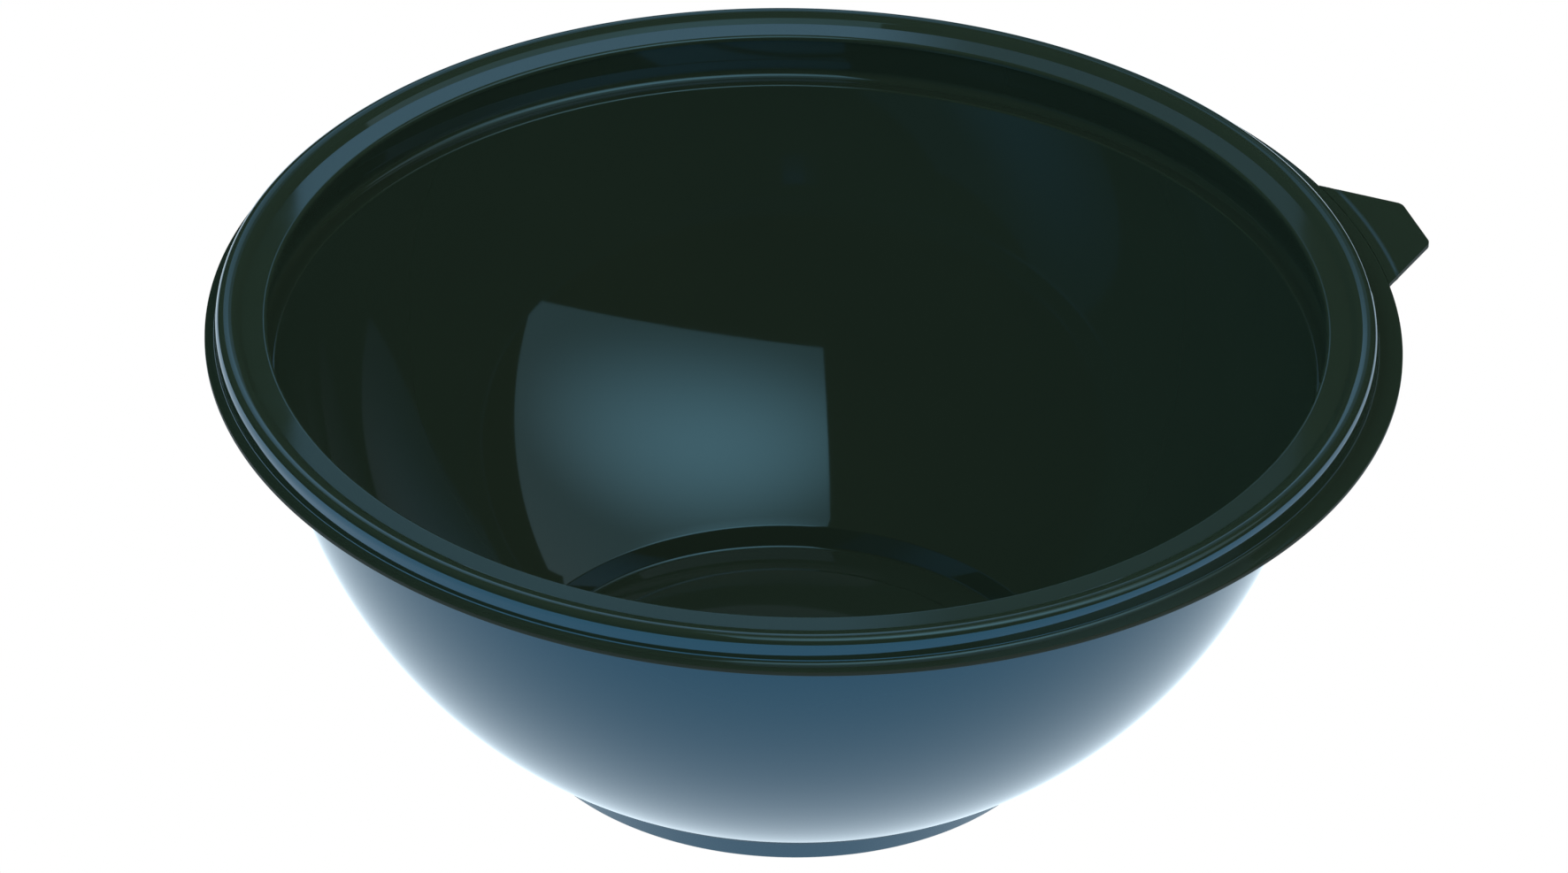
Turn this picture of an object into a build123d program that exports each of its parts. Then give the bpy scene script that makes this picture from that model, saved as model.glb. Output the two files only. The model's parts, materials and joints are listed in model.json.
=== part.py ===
from build123d import *
import math
import os

# Hair colour mixing bowl in thin gloss plastic: a ball-shaped wall on a low foot, with a snap rim,
# a flat flange and one grip tab.
# Millimetres. The origin is the centre of the foot on the table, +Z is up, and the tab points along +X.

# Body
WALL = 0.8
BALL_RADIUS = 83.0
BALL_CENTRE_Z = 73.4

# Floor: a round well with a slightly raised centre panel
FLOOR_TOP_Z = 1.3
PANEL_RADIUS = 36.4
PANEL_RISE = 0.4
PANEL_SLOPE = 0.8
WELL_BOTTOM_RADIUS = 41.9
WELL_TOP_Z = 4.05
WELL_EDGE_ROUND = 0.6
CORNER_REACH = 0.2

# Foot ring
FOOT_HEIGHT = 3.6
FOOT_RADIUS = 43.6
FOOT_INNER_RADIUS = 41.0
FOOT_SEAT_RADIUS = 42.1
FOOT_TOP_INNER_RADIUS = 44.7
FOOT_LIP_HEIGHT = 0.5
FOOT_OUTER_ROUND = 0.4
FOOT_INNER_ROUND = 0.2

# Lid seat: a ledge and a wall that leans in towards its top, so that a snap lid stays down
LEDGE_Z = 64.4
SEAT_BOTTOM_RADIUS = 84.9
SEAT_TOP_RADIUS = 83.4
SEAT_TOP_Z = 72.0
SEAT_ROUND = 0.9

# Rim band: an inner land, a crowned bead and the skirt that hangs from it
LAND_INNER_RADIUS = 83.1
LAND_OUTER_RADIUS = 87.2
LAND_Z = 72.8
LAND_EDGE_ROUND = 0.5
BEAD_INNER_RADIUS = 87.9
BEAD_INNER_Z = 73.3
BEAD_CREST_RADIUS = 89.5
BEAD_CREST_Z = 73.75
SKIRT_TOP_RADIUS = 91.25
SKIRT_TOP_Z = 73.2
SKIRT_BOTTOM_RADIUS = 91.75
BEAD_CORNER_ROUND = 0.5

# Flange and tab, cut a little off centre towards the tab
FLANGE_RADIUS = 94.0
FLANGE_OFFSET = 1.2
FLANGE_THICKNESS = 0.7
FLANGE_TOP_Z = 69.5
TAB_HALF_ROOT = 15.2
TAB_TIP_X = 104.6
TAB_HALF_TIP = 6.0
TAB_CORNER_ROUND = 2.0
CREASE_RADIUS = 95.5
CREASE_TOOL_RADIUS = 0.5
CREASE_DEPTH = 0.2

FLANGE_BOTTOM_Z = FLANGE_TOP_Z - FLANGE_THICKNESS
INNER_BALL_RADIUS = BALL_RADIUS - WALL


def ball_point(radius, z):
    """The point at height z of a ball wall's outline, as (distance from the axis, z)."""
    return (math.sqrt(radius**2 - (BALL_CENTRE_Z - z) ** 2), z)


os.makedirs("parts", exist_ok=True)

# Bowl shell: floor, well, ball wall, ledge and lid seat in one thin skin.
panel_z = FLOOR_TOP_Z + PANEL_RISE
well_top = ball_point(INNER_BALL_RADIUS, WELL_TOP_Z)
ledge_inner = ball_point(INNER_BALL_RADIUS, LEDGE_Z)
ledge_under = ball_point(BALL_RADIUS, LEDGE_Z - WALL)
foot_joint = ball_point(BALL_RADIUS, FOOT_HEIGHT)
mid_wall_z = LEDGE_Z / 2

with BuildPart() as bowl_shell:
    with BuildSketch(Plane.XZ) as shell_section:
        with BuildLine() as shell_outline:
            Polyline(
                (0, panel_z),
                (PANEL_RADIUS - PANEL_SLOPE, panel_z),
                (PANEL_RADIUS, FLOOR_TOP_Z),
                (WELL_BOTTOM_RADIUS, FLOOR_TOP_Z),
                well_top,
            )
            ThreePointArc(well_top, ball_point(INNER_BALL_RADIUS, mid_wall_z), ledge_inner)
            Polyline(
                ledge_inner,
                (SEAT_BOTTOM_RADIUS, LEDGE_Z),
                (SEAT_TOP_RADIUS, SEAT_TOP_Z),
                (SEAT_TOP_RADIUS + WALL, SEAT_TOP_Z),
                (SEAT_BOTTOM_RADIUS + WALL, LEDGE_Z - WALL),
                ledge_under,
            )
            ThreePointArc(ledge_under, ball_point(BALL_RADIUS, mid_wall_z), foot_joint)
            Polyline(
                foot_joint,
                (FOOT_TOP_INNER_RADIUS, FOOT_HEIGHT),
                (FOOT_SEAT_RADIUS, FOOT_LIP_HEIGHT),
                (PANEL_RADIUS, FOOT_LIP_HEIGHT),
                (PANEL_RADIUS - PANEL_SLOPE, FOOT_LIP_HEIGHT + PANEL_RISE),
                (0, FOOT_LIP_HEIGHT + PANEL_RISE),
                (0, panel_z),
            )
        make_face()
        corners = shell_section.vertices()
        well_corners = corners.filter_by(
            lambda v: math.dist((v.X, v.Y), well_top) < CORNER_REACH
            or math.dist((v.X, v.Y), (WELL_BOTTOM_RADIUS, FLOOR_TOP_Z)) < CORNER_REACH
        )
        fillet(well_corners, WELL_EDGE_ROUND)
        corners = shell_section.vertices()
        seat_inner = corners.sort_by_distance((SEAT_BOTTOM_RADIUS, LEDGE_Z))[0]
        fillet(seat_inner, SEAT_ROUND)
        corners = shell_section.vertices()
        seat_outer = corners.sort_by_distance((SEAT_BOTTOM_RADIUS + WALL, LEDGE_Z - WALL))[0]
        fillet(seat_outer, SEAT_ROUND + WALL)
        corners = shell_section.vertices()
        ledge_corner = corners.sort_by_distance(ledge_inner)[0]
        fillet(ledge_corner, WELL_EDGE_ROUND)
    revolve(axis=Axis.Z)

# Foot ring: a low base ring round the well, with a lip under the floor.
with BuildPart() as foot_ring:
    with BuildSketch(Plane.XZ) as foot_section:
        with BuildLine() as foot_outline:
            Polyline(
                (FOOT_TOP_INNER_RADIUS, FOOT_HEIGHT),
                foot_joint,
                (FOOT_RADIUS, 0),
                (FOOT_INNER_RADIUS, 0),
                (FOOT_INNER_RADIUS, FOOT_LIP_HEIGHT),
                (FOOT_SEAT_RADIUS, FOOT_LIP_HEIGHT),
                close=True,
            )
        make_face()
        outer_corner = foot_section.vertices().sort_by_distance((FOOT_RADIUS, 0))[0]
        fillet(outer_corner, FOOT_OUTER_ROUND)
        inner_corner = foot_section.vertices().sort_by_distance((FOOT_INNER_RADIUS, 0))[0]
        fillet(inner_corner, FOOT_INNER_ROUND)
    revolve(axis=Axis.Z)

# Rim band: it sits on the seat wall's top edge and is open underneath, as a formed rim is.
land_under = LAND_Z - WALL
bead_under = BEAD_INNER_Z - WALL

with BuildPart() as rim_band:
    with BuildSketch(Plane.XZ) as rim_section:
        with BuildLine() as rim_outline:
            Polyline(
                (LAND_INNER_RADIUS, land_under),
                (LAND_INNER_RADIUS, LAND_Z),
                (LAND_OUTER_RADIUS, LAND_Z),
                (BEAD_INNER_RADIUS, BEAD_INNER_Z),
            )
            ThreePointArc(
                (BEAD_INNER_RADIUS, BEAD_INNER_Z),
                (BEAD_CREST_RADIUS, BEAD_CREST_Z),
                (SKIRT_TOP_RADIUS, SKIRT_TOP_Z),
            )
            Polyline(
                (SKIRT_TOP_RADIUS, SKIRT_TOP_Z),
                (SKIRT_BOTTOM_RADIUS, FLANGE_TOP_Z),
                (SKIRT_BOTTOM_RADIUS, FLANGE_BOTTOM_Z),
                (SKIRT_BOTTOM_RADIUS - WALL, FLANGE_BOTTOM_Z),
                (SKIRT_TOP_RADIUS - WALL, bead_under),
                (BEAD_INNER_RADIUS, bead_under),
                (LAND_OUTER_RADIUS, land_under),
                (LAND_INNER_RADIUS, land_under),
            )
        make_face()
        skirt_corner = rim_section.vertices().sort_by_distance((SKIRT_TOP_RADIUS, SKIRT_TOP_Z))[0]
        fillet(skirt_corner, BEAD_CORNER_ROUND)
        land_corner = rim_section.vertices().sort_by_distance((LAND_INNER_RADIUS, LAND_Z))[0]
        fillet(land_corner, LAND_EDGE_ROUND)
    revolve(axis=Axis.Z)

# Flange ring: the flat cut edge round the skirt, wider towards the tab.
with BuildPart() as flange_ring:
    with BuildSketch(Plane.XY.offset(FLANGE_BOTTOM_Z)):
        with Locations((FLANGE_OFFSET, 0)):
            Circle(FLANGE_RADIUS)
        Circle(SKIRT_BOTTOM_RADIUS, mode=Mode.SUBTRACT)
    extrude(amount=FLANGE_THICKNESS)

# Grip tab: a flat trapezoid with a crease across its root, where a thumb bends it.
half_angle = math.degrees(math.asin(TAB_HALF_ROOT / FLANGE_RADIUS))
flange_plane = Plane(origin=(FLANGE_OFFSET, 0, 0), x_dir=(1, 0, 0), z_dir=(0, -1, 0))

with BuildPart() as grip_tab:
    with BuildSketch(Plane.XY.offset(FLANGE_BOTTOM_Z)) as tab_section:
        with BuildLine() as tab_outline:
            root = CenterArc((FLANGE_OFFSET, 0), FLANGE_RADIUS, -half_angle, 2 * half_angle)
            Polyline(root @ 1, (TAB_TIP_X, TAB_HALF_TIP), (TAB_TIP_X, -TAB_HALF_TIP), root @ 0)
        make_face()
        fillet(tab_section.vertices().group_by(Axis.X)[-1], TAB_CORNER_ROUND)
    extrude(amount=FLANGE_THICKNESS)
    with BuildSketch(flange_plane):
        with Locations((CREASE_RADIUS, FLANGE_TOP_Z + CREASE_TOOL_RADIUS - CREASE_DEPTH)):
            Circle(CREASE_TOOL_RADIUS)
    revolve(axis=Axis((FLANGE_OFFSET, 0, 0), (0, 0, 1)), mode=Mode.SUBTRACT)

bowl_shell.part.label = "bowl_shell"
foot_ring.part.label = "foot_ring"
rim_band.part.label = "rim_band"
flange_ring.part.label = "flange_ring"
grip_tab.part.label = "grip_tab"

export_step(bowl_shell.part, "parts/bowl_shell.step")
export_step(foot_ring.part, "parts/foot_ring.step")
export_step(rim_band.part, "parts/rim_band.step")
export_step(flange_ring.part, "parts/flange_ring.step")
export_step(grip_tab.part, "parts/grip_tab.step")
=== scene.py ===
import json
import math

import bmesh
import bpy
from mathutils import Matrix, Vector


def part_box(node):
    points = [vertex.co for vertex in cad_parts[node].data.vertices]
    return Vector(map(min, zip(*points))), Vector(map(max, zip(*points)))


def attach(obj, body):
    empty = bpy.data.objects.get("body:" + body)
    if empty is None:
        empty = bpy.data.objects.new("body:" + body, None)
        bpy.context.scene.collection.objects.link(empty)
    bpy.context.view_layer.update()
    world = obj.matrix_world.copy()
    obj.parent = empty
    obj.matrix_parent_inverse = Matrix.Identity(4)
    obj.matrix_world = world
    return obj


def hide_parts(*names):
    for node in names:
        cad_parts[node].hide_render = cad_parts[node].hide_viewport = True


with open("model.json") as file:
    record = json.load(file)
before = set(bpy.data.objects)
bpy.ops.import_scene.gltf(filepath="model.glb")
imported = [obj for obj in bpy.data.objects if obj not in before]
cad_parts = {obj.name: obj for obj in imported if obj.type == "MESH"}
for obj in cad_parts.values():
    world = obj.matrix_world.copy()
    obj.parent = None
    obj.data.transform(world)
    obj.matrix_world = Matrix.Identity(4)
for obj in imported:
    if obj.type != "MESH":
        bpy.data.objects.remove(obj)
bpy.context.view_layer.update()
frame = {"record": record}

MM = 0.001

# Sizes read from the frame, in millimetres.
shell_low, shell_high = (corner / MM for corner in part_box("bowl_shell"))
rim_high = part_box("rim_band")[1] / MM
flange_low, flange_high = (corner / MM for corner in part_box("flange_ring"))
tab_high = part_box("grip_tab")[1] / MM
foot_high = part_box("foot_ring")[1] / MM
mounts = {mount["name"]: Vector(mount["pos_m"]) / MM for mount in frame["record"]["mounts"]}

# Bowl body: two balls about one centre, 0.8 mm apart
WALL = 0.8
BALL_RADIUS = 83.0
INNER_BALL_RADIUS = BALL_RADIUS - WALL
BALL_CENTRE_Z = 73.4
LEDGE_Z = mounts["lid_seat"].z
SEAT_TOP_Z = shell_high.z
SEAT_CORNER_LOSS = 0.35
SEAT_LEAN = 1.5
SEAT_BOTTOM_RADIUS = shell_high.x - WALL + SEAT_CORNER_LOSS
SEAT_TOP_RADIUS = SEAT_BOTTOM_RADIUS - SEAT_LEAN
SEAT_ROUND = 1.2
LEDGE_EDGE_ROUND = 0.3

# Floor: a round well with a slightly raised panel
UNDERSIDE_Z = shell_low.z
FLOOR_THICKNESS = 0.35
FLOOR_TOP_Z = UNDERSIDE_Z + FLOOR_THICKNESS
PANEL_RISE = 0.4
PANEL_SLOPE = 0.8
PANEL_RADIUS = 36.4
WELL_BOTTOM_RADIUS = 42.6
WELL_TOP_Z = 4.05
WELL_ROUND = 0.6

# Foot ring
FOOT_HEIGHT = foot_high.z
FOOT_TAPER = 1.32
FOOT_RADIUS = foot_high.x - FOOT_TAPER
FOOT_INNER_RADIUS = 41.0
FOOT_SEAT_RADIUS = 43.1
FOOT_TOP_INNER_RADIUS = 44.7
FOOT_ROUND = 0.4

# Rim band
LAND_INNER_RADIUS = 83.1
LAND_OUTER_RADIUS = 87.0
LAND_Z = SEAT_TOP_Z + WALL
CROWN_FOOT_RADIUS = 87.8
CROWN_STEP = 0.55
CROWN_FOOT_Z = LAND_Z + CROWN_STEP
CREST_Z = rim_high.z
CREST_RADIUS = 89.9
CREST_FLAT = 0.1
CROWN_EDGE_RADIUS = 1.0
SHOULDER_RADIUS = 3.0
SHOULDER_TILT = 25
SKIRT_TUCK = 0.55
SKIRT_BOTTOM_RADIUS = rim_high.x - SKIRT_TUCK
RIM_ROUND = 0.5

# Flange and grip tab
FLANGE_CENTRE_X = (flange_low.x + flange_high.x) / 2
EDGE_CLEARANCE = 0.02
FLANGE_RADIUS = (flange_high.x - flange_low.x) / 2 - EDGE_CLEARANCE
FLANGE_TOP_Z = mounts["rim_snap"].z
FLANGE_THICKNESS = flange_high.z - flange_low.z
FLANGE_BOTTOM_Z = FLANGE_TOP_Z - FLANGE_THICKNESS
COVE_RADIUS = 0.7
LIP_START_RADIUS = SKIRT_BOTTOM_RADIUS + COVE_RADIUS
CUT_EDGE_ROUND = 0.12
CUT_FACE_SLOPE = 0.8
TAB_TIP_X = tab_high.x - EDGE_CLEARANCE
TAB_HALF_ROOT = tab_high.y
TAB_HALF_TIP = 6.0
TAB_CORNER_ROUND = 2.0
TAB_SPARE = 1
CREASE_RADIUS = 95.5
CREASE_DEPTH = 0.08
CREASE_HALF_WIDTH = 0.7
CREASE_SPAN = 0.93
CREASE_FADE = 6

# Fineness of the meshes
SPIN_STEPS = 360
WALL_STEPS = 48
BEND_STEPS = 10
SHOULDER_STEPS = 8
ROUND_STEPS = 6
CUT_ROUND_STEPS = 3
TAB_GRID_LONG = 72
TAB_GRID_ACROSS = 64
TAB_CORNER_STEPS = 8
MERGE_REACH = 0.001
CUT_REACH = 0.0001

# Shading: straight runs over 0.8 mm stay flat up to 0.1 mm from a corner, and steep corners are sharp
LONG_RUN = 0.8
HOLD = 0.1
CORNER_TURN = math.radians(4)
SHARP_TURN = math.radians(25)

# Outward normals above the level, in degrees
FACING_UP = 90
FACING_OUT = 0

# Grain and ripples of the surfaces, in millimetres
PIGMENT_CLOUD = 25
HAZE_SIZE = 9
RIPPLE_SIZE = 9
RIPPLE_HEIGHT = 0.004
SCUFF_FULL_Z = 0.1
SCUFF_END_Z = 0.5
SCUFF_GRAIN = 1.5
SCUFF_DULLING = 0.6
CUT_GRAIN = 0.3
CUT_GRAIN_HEIGHT = 0.02

# Stage, in metres and radians. The lights and the camera turn with the view, round the bowl's axis.
VIEW_TURN = math.radians(-20.5)
FLOOR_SIZE = 30
FLOOR_GAP = 0.0002
TABLE_TINT = (1.1, 1.3, 1.45, 1.0)
ROOM_STRENGTH = 0.95
LIGHT_DISTANCE = 1.0
SOFTBOX_AZIMUTH = math.radians(-46.8) + VIEW_TURN
SOFTBOX_HEIGHT = math.radians(50.4)
SOFTBOX_ROLL = math.radians(-32.7)
SOFTBOX_AIM_Z = 0.04
SOFTBOX_WIDTH = 1.448
SOFTBOX_LENGTH = 1.348
SOFTBOX_MIDDLE = Vector((0.076, 0.346))
SPOT_SIDE = 0.12
SPOT_DROP = 0.13
SPOT_SQUEEZE = 1.9
BACK_CARD_HEIGHT = math.radians(34.5)
BACK_CARD_AIM_Z = 0.05
BACK_CARD_WIDTH = 0.22
BACK_CARD_LENGTH = 0.24

# Camera: where it stands, how it is aimed, and its lens in millimetres
CAMERA_REACH = 2.537
CAMERA_HEIGHT = math.radians(34.475)
CAMERA_DIP = math.radians(33.524)
CAMERA_PAN = math.radians(0.045)
CAMERA_ROLL = math.radians(1.206)
SENSOR_WIDTH = 36
LENS = 365.7
FAR_CLIP = 40


def ball_angle(radius, z):
    """How far below the ball's equator, in radians, a point at height z lies."""
    return math.asin((BALL_CENTRE_Z - z) / radius)


def ball_point(radius, z):
    """The point at height z of a ball wall's outline, as (distance from the axis, z)."""
    angle = ball_angle(radius, z)
    return radius * math.cos(angle), z


# Outlines are drawn in the XZ plane with a pen that extrudes or spins its last vertex.
def start_outline(r, z):
    section = bmesh.new()
    return section, section.verts.new((r, 0, z))


def line_to(section, tip, *points):
    for r, z in points:
        tip = bmesh.ops.extrude_vert_indiv(section, verts=[tip])["verts"][0]
        tip.co = Vector((r, 0, z))
    return tip


def arc_to(section, tip, centre_r, centre_z, angle, steps):
    made = bmesh.ops.spin(section, geom=[tip], cent=(centre_r, 0, centre_z), axis=(0, 1, 0),
                          angle=angle, steps=steps, use_duplicate=False)
    return [part for part in made["geom_last"] if isinstance(part, bmesh.types.BMVert)][0]


def round_corner(section, r, z, radius, segments=ROUND_STEPS):
    """Rounds the outline's corner that is nearest to (r, z)."""
    place = Vector((r, 0, z))
    corner = min(section.verts, key=lambda vert: (vert.co - place).length)
    sides = [(edge.other_vert(corner).co - corner.co).normalized() for edge in corner.link_edges]
    half_angle = sides[0].angle(sides[1]) / 2
    reach = radius / math.tan(half_angle)
    bmesh.ops.bevel(section, geom=[corner], offset=reach, offset_type="OFFSET", segments=segments,
                    profile=0.5, affect="VERTICES", material=-1, clamp_overlap=True)


def bend_to(section, tip, radius, from_tilt, to_tilt, steps):
    """Goes on round a bend whose outward normal turns from one tilt above the level to another."""
    start = math.radians(from_tilt)
    return arc_to(section, tip, tip.co.x - radius * math.cos(start), tip.co.z - radius * math.sin(start),
                  math.radians(from_tilt - to_tilt), steps)


def close_outline(section, tip, first):
    section.edges.new((tip, first))


def is_corner(vert, run):
    """Whether the outline turns at this end of a straight run. The run's direction leads away from it."""
    sides = [edge.other_vert(vert).co - vert.co for edge in vert.link_edges]
    return any(side.angle(run) > CORNER_TURN and (-side).angle(run) > CORNER_TURN for side in sides)


def hold_flats(section):
    """Adds a point close to each corner of a straight run, so that smooth shading leaves the run flat."""
    for edge in [edge for edge in section.edges if edge.calc_length() > LONG_RUN]:
        start, end = edge.verts
        run = (end.co - start.co).normalized()
        held_start, held_end = is_corner(start, run), is_corner(end, -run)
        if held_start:
            start = bmesh.utils.edge_split(edge, start, HOLD / edge.calc_length())[1]
        if held_end:
            rest = section.edges.get((start, end))
            bmesh.utils.edge_split(rest, end, HOLD / rest.calc_length())


def turn(section):
    """Spins an outline all the way round the bowl's axis into a closed skin that faces outwards."""
    hold_flats(section)
    bmesh.ops.spin(section, geom=section.verts[:] + section.edges[:], cent=(0, 0, 0), axis=(0, 0, 1),
                   angle=math.tau, steps=SPIN_STEPS, use_merge=True, use_duplicate=False)
    bmesh.ops.remove_doubles(section, verts=section.verts, dist=MERGE_REACH)
    bmesh.ops.recalc_face_normals(section, faces=section.faces)


def finish_piece(section, name, node, slot, *materials):
    """Turns a bmesh in millimetres into a smooth piece in metres that stands for a CAD node."""
    for edge in section.edges:
        edge.smooth = edge.calc_face_angle(0) < SHARP_TURN
    bmesh.ops.scale(section, vec=(MM, MM, MM), verts=section.verts)
    mesh = bpy.data.meshes.new(name)
    section.to_mesh(mesh)
    section.free()
    mesh.polygons.foreach_set("use_smooth", [True] * len(mesh.polygons))
    piece = bpy.data.objects.new(name, mesh)
    bpy.context.scene.collection.objects.link(piece)
    for material in materials:
        mesh.materials.append(material)
    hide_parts(node)
    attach(piece, "root")


# Materials
def colour(hex_value):
    """An sRGB hex colour as linear RGBA."""
    channels = [int(hex_value[i:i + 2], 16) / 255 for i in (1, 3, 5)]
    linear = [c / 12.92 if c <= 0.04045 else ((c + 0.055) / 1.055) ** 2.4 for c in channels]
    return (*linear, 1.0)


def add_node(tree, kind, inputs=None, **settings):
    """Adds a node with its settings, and with each input set to a value or linked to a socket."""
    node = tree.nodes.new(kind)
    for name, value in settings.items():
        setattr(node, name, value)
    for name, value in (inputs or {}).items():
        if isinstance(value, bpy.types.NodeSocket):
            tree.links.new(value, node.inputs[name])
        else:
            node.inputs[name].default_value = value
    return node


def new_material(name):
    material = bpy.data.materials.new(name)
    material.use_nodes = True
    tree = material.node_tree
    tree.nodes.clear()
    return material, tree


def gloss_skin(name, pigment_dark, pigment_light, gloss_low, gloss_high, wear=None):
    """Opaque black gloss sheet: a blue-tinted, faintly rippled mirror, neutral at a glancing angle."""
    material, tree = new_material(name)
    place = add_node(tree, "ShaderNodeTexCoord").outputs["Object"]
    pigment = add_node(tree, "ShaderNodeTexNoise", {"Vector": place, "Scale": 1 / (PIGMENT_CLOUD * MM),
                                                   "Detail": 3.0})
    tint = add_node(tree, "ShaderNodeMix", {"Factor": pigment.outputs["Fac"], "A": colour(pigment_dark),
                                            "B": colour(pigment_light)}, data_type="RGBA")
    haze = add_node(tree, "ShaderNodeTexNoise", {"Vector": place, "Scale": 1 / (HAZE_SIZE * MM),
                                                "Detail": 5.0})
    spread = add_node(tree, "ShaderNodeMapRange", {"Value": haze.outputs["Fac"], "From Min": 0.3,
                      "From Max": 0.7, "To Min": gloss_low, "To Max": gloss_high})
    gloss = spread.outputs["Result"]
    if wear:
        gloss = wear(tree, place, gloss)
    ripple = add_node(tree, "ShaderNodeTexNoise", {"Vector": place, "Scale": 1 / (RIPPLE_SIZE * MM),
                                                  "Detail": 1.0})
    bump = add_node(tree, "ShaderNodeBump", {"Height": ripple.outputs["Fac"], "Strength": 1.0,
                                             "Distance": RIPPLE_HEIGHT * MM})
    skin = add_node(tree, "ShaderNodeBsdfPrincipled", {"Base Color": tint.outputs["Result"],
                    "Roughness": gloss, "Normal": bump.outputs["Normal"], "IOR": 1.55,
                    "Specular IOR Level": 1.0, "Specular Tint": (0.14, 0.48, 0.82, 1.0)})
    add_node(tree, "ShaderNodeOutputMaterial", {"Surface": skin.outputs["BSDF"]})
    return material


def formed_gloss_polystyrene():
    """The bowl's formed sheet: a deep green-black with soft ripples in a clean mirror."""
    return gloss_skin("formed_gloss_polystyrene", "#1e2f28", "#21332b", 0.03, 0.05)


def scuffed_foot_polystyrene():
    """The foot's sheet: the same black, dulled in a narrow line where it slides on the table."""
    def slid_on_table(tree, place, gloss):
        height = add_node(tree, "ShaderNodeSeparateXYZ", {"Vector": place})
        nearness = add_node(tree, "ShaderNodeMapRange", {"Value": height.outputs["Z"],
                            "From Min": SCUFF_FULL_Z * MM, "From Max": SCUFF_END_Z * MM,
                            "To Min": 1.0, "To Max": 0.0})
        grain = add_node(tree, "ShaderNodeTexNoise", {"Vector": place, "Scale": 1 / (SCUFF_GRAIN * MM),
                                                      "Detail": 4.0})
        scuff = add_node(tree, "ShaderNodeMath", {0: nearness.outputs["Result"], 1: grain.outputs["Fac"]},
                         operation="MULTIPLY")
        return add_node(tree, "ShaderNodeMath", {0: scuff.outputs["Value"], 1: SCUFF_DULLING, 2: gloss},
                        operation="MULTIPLY_ADD").outputs["Value"]
    return gloss_skin("scuffed_foot_polystyrene", "#1d2e29", "#20322e", 0.06, 0.12, slid_on_table)


def sheared_polystyrene_edge():
    """The sheet's sheared edge: dull, fine-grained black that takes no mirror image."""
    material, tree = new_material("sheared_polystyrene_edge")
    place = add_node(tree, "ShaderNodeTexCoord").outputs["Object"]
    grain = add_node(tree, "ShaderNodeTexNoise", {"Vector": place, "Scale": 1 / (CUT_GRAIN * MM),
                                                 "Detail": 3.0})
    bump = add_node(tree, "ShaderNodeBump", {"Height": grain.outputs["Fac"], "Strength": 0.5,
                                             "Distance": CUT_GRAIN_HEIGHT * MM})
    edge = add_node(tree, "ShaderNodeBsdfPrincipled", {"Base Color": colour("#1c2a24"), "Roughness": 0.55,
                    "Normal": bump.outputs["Normal"], "IOR": 1.5, "Specular IOR Level": 0.15})
    add_node(tree, "ShaderNodeOutputMaterial", {"Surface": edge.outputs["BSDF"]})
    return material


def give_light(tree, tint, strength):
    light = add_node(tree, "ShaderNodeEmission", {"Color": tint, "Strength": strength})
    add_node(tree, "ShaderNodeOutputMaterial", {"Surface": light.outputs["Emission"]})


def even_glow(name, tint):
    """A sheet that gives the same light all over, for the floor."""
    material, tree = new_material(name)
    give_light(tree, tint, 1.0)
    return material


def softbox_cloth():
    """Warm white lit cloth, with a brighter spot where the lamp stands behind it."""
    material, tree = new_material("softbox_cloth")
    place = add_node(tree, "ShaderNodeTexCoord").outputs["Object"]
    middle = (SOFTBOX_MIDDLE.x + SPOT_SIDE, SPOT_SQUEEZE * (SOFTBOX_MIDDLE.y - SPOT_DROP), 0)
    spot = add_node(tree, "ShaderNodeMapping", {"Vector": place, "Location": middle,
                    "Scale": (1.0, SPOT_SQUEEZE, 1.0)})
    falloff = add_node(tree, "ShaderNodeTexGradient", {"Vector": spot.outputs["Vector"]},
                       gradient_type="SPHERICAL")
    level = add_node(tree, "ShaderNodeMapRange", {"Value": falloff.outputs["Fac"], "From Min": 0.0,
                     "From Max": 1.0, "To Min": 0.6, "To Max": 2.5}, interpolation_type="SMOOTHSTEP")
    give_light(tree, (1.25, 0.87, 0.68, 1.0), level.outputs["Result"])
    return material


def cool_reflector():
    """Cool white card, brightest low on its left, that gives the flat land its blue band."""
    material, tree = new_material("back_card")
    place = add_node(tree, "ShaderNodeTexCoord").outputs["Object"]
    parts = add_node(tree, "ShaderNodeSeparateXYZ", {"Vector": place})
    rise = add_node(tree, "ShaderNodeMapRange", {"Value": parts.outputs["Y"], "From Min": -0.06,
                    "From Max": 0.04, "To Min": 0.85, "To Max": 0.4}, interpolation_type="SMOOTHSTEP")
    side = add_node(tree, "ShaderNodeMapRange", {"Value": parts.outputs["X"], "From Min": 0.01,
                    "From Max": 0.04, "To Min": 1.0, "To Max": 0.3}, interpolation_type="SMOOTHSTEP")
    level = add_node(tree, "ShaderNodeMath", {0: rise.outputs["Result"], 1: side.outputs["Result"]},
                     operation="MULTIPLY")
    give_light(tree, (0.6, 0.85, 1.0, 1.0), level.outputs["Value"])
    return material


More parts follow.
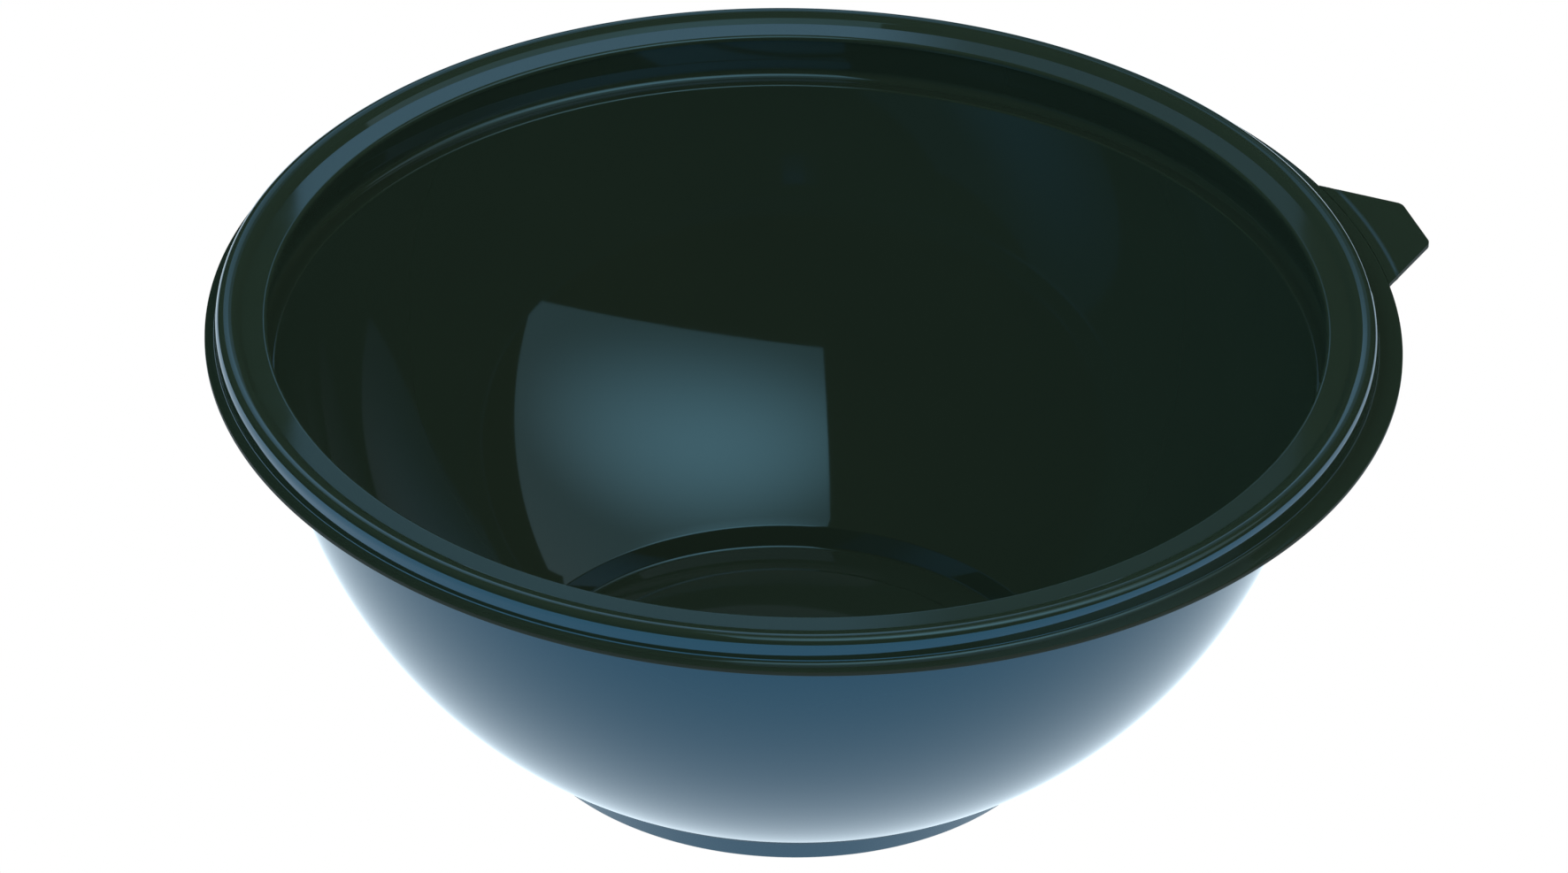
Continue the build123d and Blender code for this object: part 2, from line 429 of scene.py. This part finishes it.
# Pieces
def bowl_shell(material):
    """One skin: floor panel, well, ball wall, lid ledge and the leaning seat wall, then back down outside."""
    panel_z = FLOOR_TOP_Z + PANEL_RISE
    well_top = ball_point(INNER_BALL_RADIUS, WELL_TOP_Z)
    section, tip = start_outline(0, panel_z)
    tip = line_to(section, tip, (PANEL_RADIUS - PANEL_SLOPE, panel_z), (PANEL_RADIUS, FLOOR_TOP_Z),
                  (WELL_BOTTOM_RADIUS, FLOOR_TOP_Z), well_top)
    inner_rise = ball_angle(INNER_BALL_RADIUS, WELL_TOP_Z) - ball_angle(INNER_BALL_RADIUS, LEDGE_Z)
    tip = arc_to(section, tip, 0, BALL_CENTRE_Z, -inner_rise, WALL_STEPS)
    under_z = LEDGE_Z - WALL
    tip = line_to(section, tip, (SEAT_BOTTOM_RADIUS, LEDGE_Z), (SEAT_TOP_RADIUS, SEAT_TOP_Z),
                  (SEAT_TOP_RADIUS + WALL, SEAT_TOP_Z), (SEAT_BOTTOM_RADIUS + WALL, under_z),
                  ball_point(BALL_RADIUS, under_z))
    outer_fall = ball_angle(BALL_RADIUS, FOOT_HEIGHT) - ball_angle(BALL_RADIUS, under_z)
    tip = arc_to(section, tip, 0, BALL_CENTRE_Z, outer_fall, WALL_STEPS)
    tip = line_to(section, tip, (FOOT_TOP_INNER_RADIUS, FOOT_HEIGHT), (FOOT_SEAT_RADIUS, UNDERSIDE_Z),
                  (PANEL_RADIUS, UNDERSIDE_Z), (PANEL_RADIUS - PANEL_SLOPE, UNDERSIDE_Z + PANEL_RISE),
                  (0, UNDERSIDE_Z + PANEL_RISE))
    round_corner(section, *well_top, WELL_ROUND)
    round_corner(section, WELL_BOTTOM_RADIUS, FLOOR_TOP_Z, WELL_ROUND)
    round_corner(section, PANEL_RADIUS, FLOOR_TOP_Z, WELL_ROUND)
    round_corner(section, PANEL_RADIUS - PANEL_SLOPE, panel_z, WELL_ROUND)
    round_corner(section, *ball_point(INNER_BALL_RADIUS, LEDGE_Z), LEDGE_EDGE_ROUND)
    round_corner(section, SEAT_BOTTOM_RADIUS, LEDGE_Z, SEAT_ROUND)
    round_corner(section, SEAT_BOTTOM_RADIUS + WALL, under_z, SEAT_ROUND + WALL)
    turn(section)
    finish_piece(section, "bowl_shell_skin", "bowl_shell", "bowl_plastic", material)


def rim_band(material):
    """A land, a crowned bead and an upright skirt, in one skin that is open underneath."""
    land_under = LAND_Z - WALL
    section, first = start_outline(LAND_INNER_RADIUS, land_under)
    tip = line_to(section, first, (LAND_INNER_RADIUS, LAND_Z), (LAND_OUTER_RADIUS, LAND_Z),
                  (CROWN_FOOT_RADIUS, CROWN_FOOT_Z))
    run, rise = CREST_RADIUS - CROWN_FOOT_RADIUS, CREST_Z - CROWN_FOOT_Z
    crown_radius = (run**2 + rise**2) / (2 * rise)
    crown_tilt = FACING_UP + math.degrees(math.asin(run / crown_radius))
    tip = bend_to(section, tip, crown_radius, crown_tilt, FACING_UP, BEND_STEPS)
    tip = line_to(section, tip, (CREST_RADIUS + CREST_FLAT, CREST_Z))
    tip = bend_to(section, tip, CROWN_EDGE_RADIUS, FACING_UP, SHOULDER_TILT, BEND_STEPS)
    tip = bend_to(section, tip, SHOULDER_RADIUS, SHOULDER_TILT, FACING_OUT, SHOULDER_STEPS)
    inside = SKIRT_BOTTOM_RADIUS - WALL
    tip = line_to(section, tip, (SKIRT_BOTTOM_RADIUS, FLANGE_TOP_Z), (SKIRT_BOTTOM_RADIUS, FLANGE_BOTTOM_Z),
                  (inside, FLANGE_BOTTOM_Z), (inside - WALL, LAND_Z - WALL / 2),
                  (CREST_RADIUS, CREST_Z - WALL),
                  (CROWN_FOOT_RADIUS, CROWN_FOOT_Z - WALL), (LAND_OUTER_RADIUS, land_under))
    close_outline(section, tip, first)
    round_corner(section, LAND_INNER_RADIUS, LAND_Z, RIM_ROUND)
    turn(section)
    finish_piece(section, "rim_band_skin", "rim_band", "bowl_plastic", material)


def flange_edge(angle):
    """How far the flange's cut edge is from the bowl's axis at this angle about it."""
    across = FLANGE_CENTRE_X * math.sin(angle)
    return FLANGE_CENTRE_X * math.cos(angle) + math.sqrt(FLANGE_RADIUS**2 - across**2)


def flange_ring(material, cut_edge):
    """A thin cut lip with a small cove where it meets the skirt. Its edge is a circle off the bowl's axis."""
    section, first = start_outline(SKIRT_BOTTOM_RADIUS, FLANGE_BOTTOM_Z)
    tip = line_to(section, first, (FLANGE_RADIUS, FLANGE_BOTTOM_Z), (FLANGE_RADIUS, FLANGE_TOP_Z),
                  (LIP_START_RADIUS, FLANGE_TOP_Z))
    tip = arc_to(section, tip, LIP_START_RADIUS, FLANGE_TOP_Z + COVE_RADIUS, math.pi / 2, ROUND_STEPS)
    close_outline(section, tip, first)
    round_corner(section, FLANGE_RADIUS, FLANGE_BOTTOM_Z, CUT_EDGE_ROUND, CUT_ROUND_STEPS)
    round_corner(section, FLANGE_RADIUS, FLANGE_TOP_Z, CUT_EDGE_ROUND, CUT_ROUND_STEPS)
    turn(section)
    for vert in section.verts:
        radius = math.hypot(vert.co.x, vert.co.y)
        angle = math.atan2(vert.co.y, vert.co.x)
        share = max(0.0, radius - LIP_START_RADIUS) / (FLANGE_RADIUS - LIP_START_RADIUS)
        grown = 1 + share * (flange_edge(angle) - FLANGE_RADIUS) / radius
        vert.co.x *= grown
        vert.co.y *= grown
    mark_cut_edge(section)
    finish_piece(section, "flange_ring_skin", "flange_ring", "bowl_plastic", material, cut_edge)


def mark_cut_edge(section):
    """Gives the upright faces of a flat sheet's outside the second material."""
    section.normal_update()
    for face in section.faces:
        on_lip = face.calc_center_median().xy.length > LIP_START_RADIUS
        if on_lip and abs(face.normal.z) < CUT_FACE_SLOPE:
            face.material_index = 1


def grip_tab(material, cut_edge):
    """A flat trapezoid cut from the same sheet. A shallow crease follows the flange's edge and fades out."""
    root_angle = math.asin(TAB_HALF_ROOT / FLANGE_RADIUS)
    reach = math.hypot(TAB_TIP_X - FLANGE_CENTRE_X, TAB_HALF_TIP) - FLANGE_RADIUS + TAB_SPARE
    section = bmesh.new()
    bmesh.ops.create_grid(section, x_segments=TAB_GRID_LONG, y_segments=TAB_GRID_ACROSS, size=0.5)
    for vert in section.verts:
        radius = FLANGE_RADIUS + (vert.co.x + 0.5) * reach
        angle = 2 * vert.co.y * root_angle
        across = min(1.0, abs(radius - CREASE_RADIUS) / CREASE_HALF_WIDTH)
        along = min(1.0, 2 * abs(vert.co.y) / CREASE_SPAN)
        sink = CREASE_DEPTH * math.cos(math.pi / 2 * across) ** 2 * (1 - along**CREASE_FADE)
        x = FLANGE_CENTRE_X + radius * math.cos(angle)
        vert.co = Vector((x, radius * math.sin(angle), FLANGE_TOP_Z - sink))
    root = Vector((FLANGE_CENTRE_X + FLANGE_RADIUS * math.cos(root_angle), TAB_HALF_ROOT))
    tip = Vector((TAB_TIP_X, TAB_HALF_TIP))
    side_angle = math.atan2(root.x - tip.x, tip.y - root.y) + math.pi
    centre = round_centre(tip, side_angle)
    for side in (1, -1):
        for step in range(TAB_CORNER_STEPS + 1):
            angle = side_angle * (1 - step / TAB_CORNER_STEPS)
            normal = Vector((math.cos(angle), side * math.sin(angle), 0))
            place = Vector((centre.x, side * centre.y, 0)) + TAB_CORNER_ROUND * normal
            bmesh.ops.bisect_plane(section, geom=section.verts[:] + section.edges[:] + section.faces[:],
                                   dist=CUT_REACH, plane_co=place, plane_no=normal, clear_outer=True)
    bmesh.ops.recalc_face_normals(section, faces=section.faces)
    if sum(face.normal.z for face in section.faces) < 0:
        bmesh.ops.reverse_faces(section, faces=section.faces)
    bmesh.ops.solidify(section, geom=section.faces[:], thickness=FLANGE_THICKNESS)
    mark_cut_edge(section)
    finish_piece(section, "grip_tab_skin", "grip_tab", "bowl_plastic", material, cut_edge)


def round_centre(tip, side_angle):
    """The centre of the round at the tab's tip, inside both its end line and its side line."""
    x = tip.x - TAB_CORNER_ROUND
    side_normal = Vector((math.cos(side_angle), math.sin(side_angle)))
    y = (tip @ side_normal - TAB_CORNER_ROUND - x * side_normal.x) / side_normal.y
    return Vector((x, y))


def foot_ring(material):
    """The base ring that the bowl stands on, with its edges rounded by forming."""
    joint = ball_point(BALL_RADIUS, FOOT_HEIGHT)
    section, first = start_outline(FOOT_TOP_INNER_RADIUS, FOOT_HEIGHT)
    tip = line_to(section, first, joint, (FOOT_RADIUS, 0), (FOOT_INNER_RADIUS, 0),
                  (FOOT_INNER_RADIUS, UNDERSIDE_Z), (FOOT_SEAT_RADIUS, UNDERSIDE_Z))
    close_outline(section, tip, first)
    round_corner(section, FOOT_RADIUS, 0, FOOT_ROUND)
    round_corner(section, FOOT_INNER_RADIUS, 0, FOOT_ROUND / 2)
    turn(section)
    finish_piece(section, "foot_ring_skin", "foot_ring", "foot_plastic", material)


# Stage
def sheet_on_stage(name, width, height, material):
    plane = bmesh.new()
    bmesh.ops.create_grid(plane, x_segments=1, y_segments=1, size=0.5)
    bmesh.ops.scale(plane, vec=(width, height, 1), verts=plane.verts)
    mesh = bpy.data.meshes.new(name)
    plane.to_mesh(mesh)
    plane.free()
    mesh.materials.append(material)
    sheet = bpy.data.objects.new(name, mesh)
    bpy.context.scene.collection.objects.link(sheet)
    return sheet


def pale_floor():
    """Three sheets in one place: white to look at, a cool glow to mirror, and grey for soft light."""
    white = even_glow("white_floor", colour("#ffffff"))
    floor = sheet_on_stage("pale_floor", FLOOR_SIZE, FLOOR_SIZE, white)
    floor.location.z = -FLOOR_GAP
    floor.visible_glossy = floor.visible_diffuse = floor.visible_shadow = False
    cool = even_glow("light_table", TABLE_TINT)
    table = sheet_on_stage("light_table", FLOOR_SIZE, FLOOR_SIZE, cool)
    table.location.z = -2 * FLOOR_GAP
    table.visible_camera = table.visible_diffuse = False
    grey = even_glow("shaded_floor", colour("#7c7c7c"))
    shade = sheet_on_stage("shaded_floor", FLOOR_SIZE, FLOOR_SIZE, grey)
    shade.location.z = -3 * FLOOR_GAP
    shade.visible_camera = shade.visible_glossy = shade.visible_shadow = False


def softbox():
    """A large squarish softbox, high in front and to the right."""
    azimuth, height = SOFTBOX_AZIMUTH, SOFTBOX_HEIGHT
    towards = Vector((math.cos(height) * math.cos(azimuth), math.cos(height) * math.sin(azimuth),
                      math.sin(height)))
    level = Vector((0, 0, 1)).cross(towards).normalized()
    upright = towards.cross(level)
    side = math.cos(SOFTBOX_ROLL) * level + math.sin(SOFTBOX_ROLL) * upright
    lift = math.cos(SOFTBOX_ROLL) * upright - math.sin(SOFTBOX_ROLL) * level
    card = sheet_on_stage("softbox", SOFTBOX_WIDTH, SOFTBOX_LENGTH, softbox_cloth())
    place = Vector((0, 0, SOFTBOX_AIM_Z)) + LIGHT_DISTANCE * towards
    place += SOFTBOX_MIDDLE.x * side + SOFTBOX_MIDDLE.y * lift
    facing = Matrix((side, lift, towards)).transposed().to_4x4()
    card.matrix_world = Matrix.Translation(place) @ facing
    card.visible_camera = False


def back_card():
    """A small reflector behind and above the bowl, that the flat land mirrors."""
    away = Vector((0, math.cos(BACK_CARD_HEIGHT), math.sin(BACK_CARD_HEIGHT)))
    card = sheet_on_stage("back_card", BACK_CARD_WIDTH, BACK_CARD_LENGTH, cool_reflector())
    place = Matrix.Translation(Vector((0, 0, BACK_CARD_AIM_Z)) + LIGHT_DISTANCE * away)
    tilt = Matrix.Rotation(math.pi / 2 + BACK_CARD_HEIGHT, 4, "X")
    card.matrix_world = Matrix.Rotation(VIEW_TURN, 4, "Z") @ place @ tilt
    card.visible_camera = False


def camera():
    place = Matrix.Translation((0, -CAMERA_REACH * math.cos(CAMERA_HEIGHT),
                                CAMERA_REACH * math.sin(CAMERA_HEIGHT)))
    aim = (Matrix.Rotation(CAMERA_PAN, 4, "Z") @ Matrix.Rotation(math.pi / 2 - CAMERA_DIP, 4, "X")
           @ Matrix.Rotation(CAMERA_ROLL, 4, "Z"))
    data = bpy.data.cameras.new("camera")
    data.sensor_width = SENSOR_WIDTH
    data.lens = LENS
    data.clip_end = FAR_CLIP
    made = bpy.data.objects.new("camera", data)
    bpy.context.scene.collection.objects.link(made)
    made.matrix_world = Matrix.Rotation(VIEW_TURN, 4, "Z") @ place @ aim
    bpy.context.scene.camera = made


def room():
    """Even white light from all round, which the gloss doesn't mirror."""
    world = bpy.data.worlds.new("white_room")
    bpy.context.scene.world = world
    world.use_nodes = True
    world.node_tree.nodes.clear()
    air = add_node(world.node_tree, "ShaderNodeBackground", {"Color": colour("#ffffff"),
                   "Strength": ROOM_STRENGTH})
    add_node(world.node_tree, "ShaderNodeOutputWorld", {"Surface": air.outputs["Background"]})
    world.cycles_visibility.glossy = False
    bpy.context.scene.view_settings.view_transform = "Standard"


plastic = formed_gloss_polystyrene()
cut_edge = sheared_polystyrene_edge()
bowl_shell(plastic)
rim_band(plastic)
flange_ring(plastic, cut_edge)
grip_tab(plastic, cut_edge)
foot_ring(scuffed_foot_polystyrene())
pale_floor()
softbox()
back_card()
room()
camera()
